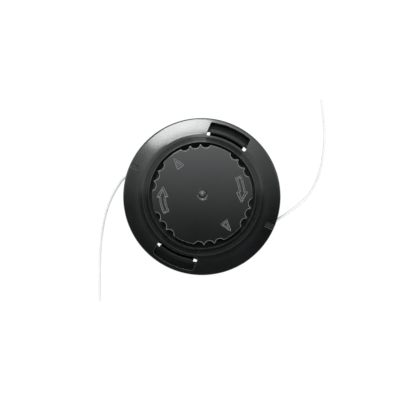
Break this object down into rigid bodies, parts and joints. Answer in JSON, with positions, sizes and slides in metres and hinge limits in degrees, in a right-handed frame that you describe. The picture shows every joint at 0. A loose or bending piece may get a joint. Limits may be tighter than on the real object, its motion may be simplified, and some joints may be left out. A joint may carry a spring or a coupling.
{
  "type": "trimmer head",
  "caption": "Round two-line bump-feed head for a grass trimmer: housing, clip-on cover, spool, spring, bump knob, outlet bushes and free nylon lines.",
  "frame": {"origin": "centre of the drive boss's flat end, on the drive axis; the head rests on that face", "axes": "+Z along the drive axis from the boss towards the bump knob, +X through the right line outlet, +Y through a latch"},
  "size_m": [0.1603, 0.242, 0.063],
  "materials": {
    "housing_plastic": "satin moulded black nylon",
    "cover_plastic": "glossy moulded black plastic with fine scuffs",
    "knob_plastic": "polished black plastic",
    "spool_plastic": "satin moulded black nylon",
    "nylon_line": "pale translucent nylon",
    "nut_steel": "zinc plated",
    "washer_steel": "plain steel",
    "spring_steel": "oiled spring steel",
    "eyelet_metal": "turned and polished",
    "bush_brass": "turned"
  },
  "bodies": {
    "housing": {"upper_housing": "housing_plastic", "drive_nut": "nut_steel", "eyelet_left": "eyelet_metal", "eyelet_right": "eyelet_metal", "lower_cover": "cover_plastic", "spring_seat": "washer_steel", "bump_spring": "spring_steel", "line_lead_left": "nylon_line", "line_lead_right": "nylon_line", "free_line_left": "nylon_line", "free_line_right": "nylon_line"},
    "pusher": {"thrust_washer": "washer_steel"},
    "spool": {"spool": "spool_plastic", "spool_bush": "bush_brass", "wound_line": "nylon_line", "knob": "knob_plastic", "knob_screw": "washer_steel"}
  },
  "joints": [
    {"name": "bump_press", "type": "slide", "parent": "housing", "child": "pusher", "axis": [0, 0, -1], "range_m": [0, 0.006], "stiffness_N_per_m": 2500, "springref_m": -0.006, "deforming": ["bump_spring"]},
    {"name": "spool_turn", "type": "hinge", "parent": "pusher", "child": "spool", "pos_m": [0, 0, 0.036], "axis": [0, 0, 1], "continuous": true}
  ]
}
